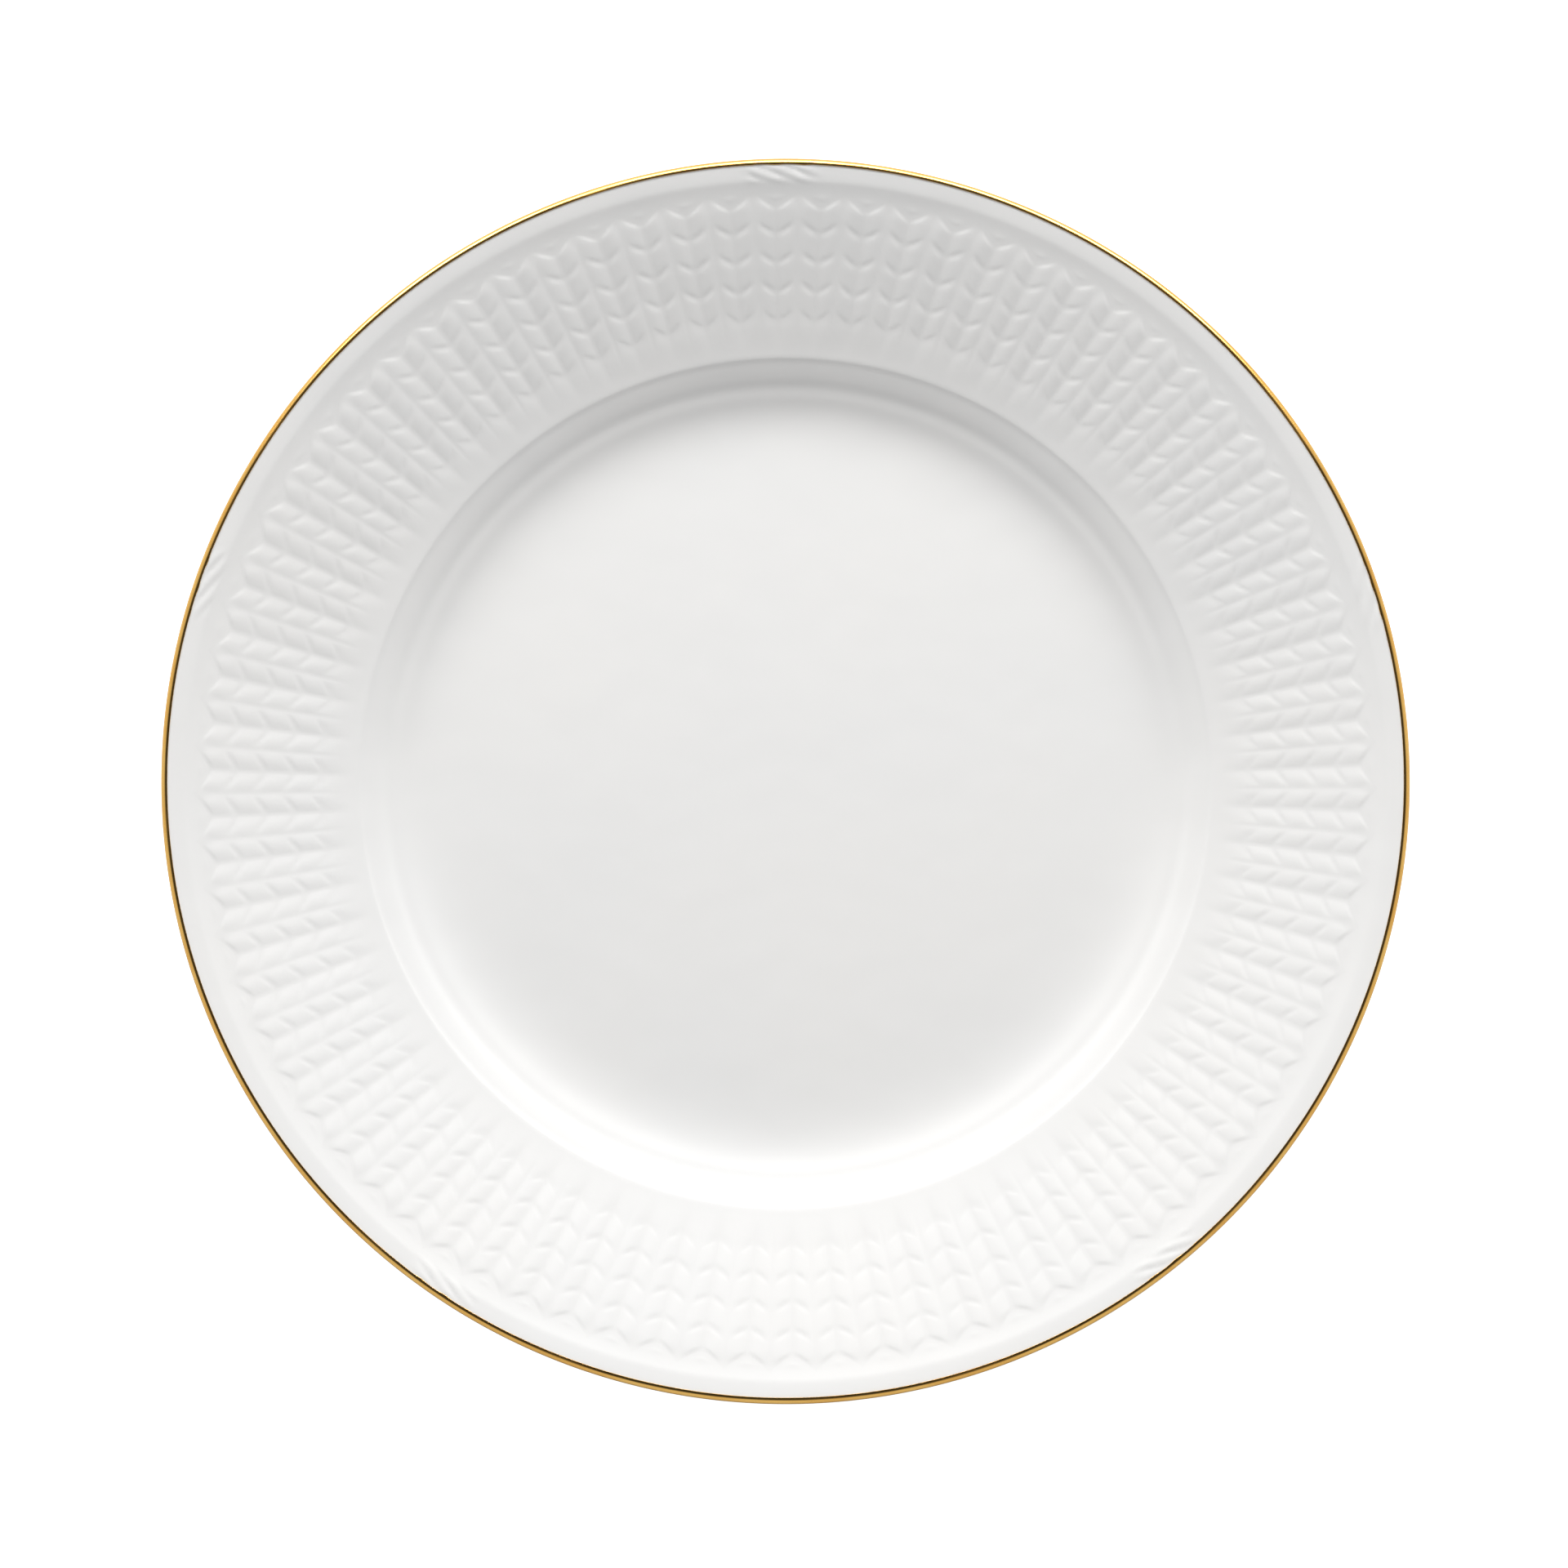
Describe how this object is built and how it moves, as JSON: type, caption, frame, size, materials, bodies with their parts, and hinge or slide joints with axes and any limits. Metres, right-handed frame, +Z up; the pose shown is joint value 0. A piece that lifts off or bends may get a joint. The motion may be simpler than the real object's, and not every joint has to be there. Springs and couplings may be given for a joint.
{
  "type": "dinner plate",
  "caption": "Round china dinner plate: flat well, curved wall, sloping rim with pressed grain relief, rounded gilt lip, and a bare foot ring underneath.",
  "frame": {"origin": "centre of the circle that the foot ring stands on, at table height", "axes": "+Z up through the middle of the plate, towards the face; X and Y lie in the table plane"},
  "size_m": [0.27, 0.2699, 0.025],
  "materials": {
    "fired_porcelain": "matt bare biscuit, seen only on the foot ring",
    "clear_glaze_face": "high gloss clear glaze over white porcelain",
    "clear_glaze_back": "high gloss clear glaze over white porcelain",
    "clear_glaze_recess": "high gloss clear glaze over white porcelain",
    "gilding": "polished bright gold"
  },
  "bodies": {
    "root": {"porcelain_body": "fired_porcelain", "face_glaze": "clear_glaze_face", "back_glaze": "clear_glaze_back", "foot_recess_glaze": "clear_glaze_recess", "gilt_rim_band": "gilding"}
  },
  "joints": []
}
